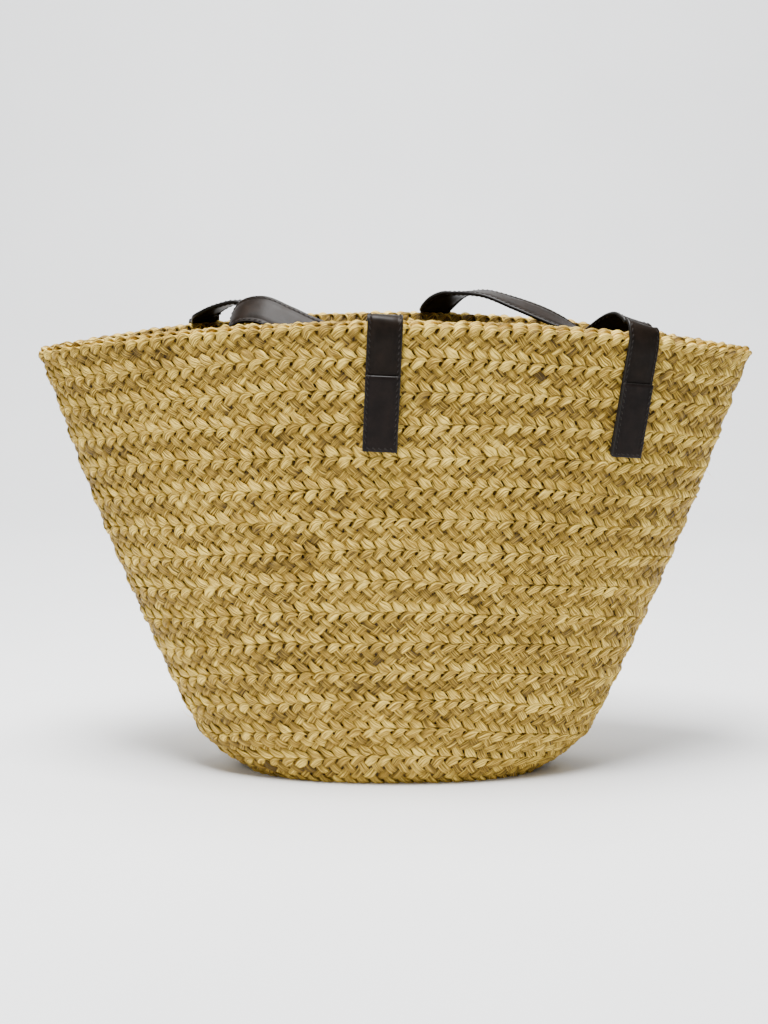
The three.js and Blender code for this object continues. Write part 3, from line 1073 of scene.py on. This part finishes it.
@dataclass(frozen=True)
class Lamp:
    """A square soft lamp that hangs at a place and faces a point."""

    name: str
    place: tuple
    target: tuple
    size: float
    power: float

    def hang(self) -> None:
        """Adds the lamp to the scene."""
        light = bpy.data.lights.new(self.name, "AREA")
        light.size = self.size
        light.energy = self.power
        aim = Vector(self.target) - Vector(self.place)
        hang_object(self.name, light, self.place, aim.to_track_quat("-Z", "Y").to_euler())


def hang_object(name: str, data: bpy.types.ID, place: tuple, turn: tuple) -> bpy.types.Object:
    """Adds a lamp or a camera to the scene at a place and turn."""
    obj = bpy.data.objects.new(name, data)
    obj.location = place
    obj.rotation_euler = turn
    bpy.context.scene.collection.objects.link(obj)
    return obj


@dataclass
class Studio:
    """A pale sweep of paper, soft lamps and the camera."""

    floor_half: float = 3.0
    bend_start: float = 1.1
    bend_radius: float = 0.9
    bend_steps: int = 16
    wall_height: float = 2.2
    lamps: tuple = (Lamp("lamp_overhead", (-0.15, -0.38, 1.75), (0, 0, 0.1), 0.65, 100),
                    Lamp("lamp_front_left", (-1.2, -1.7, 1.7), (0, 0, 0.15), 0.6, 9),
                    Lamp("lamp_backdrop", (0, 0.4, 2.2), (0, 1.9, 0.9), 1.6, 74))
    air_colour: str = "f4f6fa"
    air_strength: float = 0.22
    lens: float = 59.8
    sensor: float = 36.0
    eye: tuple = (-0.0073, -1.190, 0.362)
    look_down: float = 8.5

    def build(self, paper: bpy.types.Material) -> None:
        """Sets up the floor, the light and the camera."""
        self.sweep(paper)
        for lamp in self.lamps:
            lamp.hang()
        world = bpy.data.worlds.new("studio_air")
        world.use_nodes = True
        air = world.node_tree.nodes["Background"]
        air.inputs["Color"].default_value = linear(self.air_colour)
        air.inputs["Strength"].default_value = self.air_strength
        bpy.context.scene.world = world
        self.camera()

    def sweep(self, paper: bpy.types.Material) -> None:
        """Lays the paper flat under the bag and bends it up behind."""
        profile = [(-self.floor_half, 0.0), (self.bend_start, 0.0)]
        for step in range(1, self.bend_steps + 1):
            angle = step / self.bend_steps * math.pi / 2
            profile.append((self.bend_start + self.bend_radius * math.sin(angle),
                            self.bend_radius * (1 - math.cos(angle))))
        profile.append((self.bend_start + self.bend_radius, self.wall_height))
        sides = (-self.floor_half, self.floor_half)
        vertices = np.array([(x, y, z) for y, z in profile for x in sides])
        i = np.arange(len(profile) - 1) * 2
        faces = np.stack([i, i + 1, i + 3, i + 2], axis=1)
        add_object("paper_sweep", vertices, faces, [paper])

    def camera(self) -> None:
        """Places the camera just above the rim, looking a little down."""
        lens = bpy.data.cameras.new("camera")
        lens.lens = self.lens
        lens.sensor_width = self.sensor
        turn = (math.radians(90 - self.look_down), 0, 0)
        bpy.context.scene.camera = hang_object("camera", lens, self.eye, turn)


def main() -> None:
    """Builds the bag and its setting."""
    logging.basicConfig(level=logging.INFO, format="%(name)s: %(message)s")
    paper = PlainFinish("paper", "e6e7e8", "ecedee", 0.8, 0.4)
    Studio().build(paper.build())
    shape = BasketShape()
    straw = PlaitedStraw()
    facing = PlaitedStraw(name="facing_straw", pale="fbdb70", gold="b48f38")
    Basket(shape).build(straw.build(), facing.build())
    finishes = {
        "leather": SmoothLeather("strap_leather").build(),
        "patch": SmoothLeather("patch_leather", colour="110c0a", worn="1d1613").build(),
        "edge": PlainFinish("edge_paint", "0c0a08", "15110e", 0.45, 4 * MM, 0.25).build(),
        "thread": PlainFinish("waxed_thread", "120f0d", "241e1a", 0.55, 0.8 * MM, 0.2).build(),
    }
    front = Handle("front", Side.FRONT, 78.5 * MM, (3.5 * MM, 11 * MM), (0.6, -2.0),
                   (0.0, -0.3), (0.0, 2.6 * MM), FRONT_ROUTE)
    back = Handle("back", Side.BACK, -54 * MM, (-7 * MM, -3.5 * MM), (-2.0, -1.2),
                  (-0.3, 0.0), (1.5 * MM, 0.0), BACK_ROUTE)
    for handle in (front, back):
        handle.build(shape, finishes)


if __name__ == "__main__":
    main()
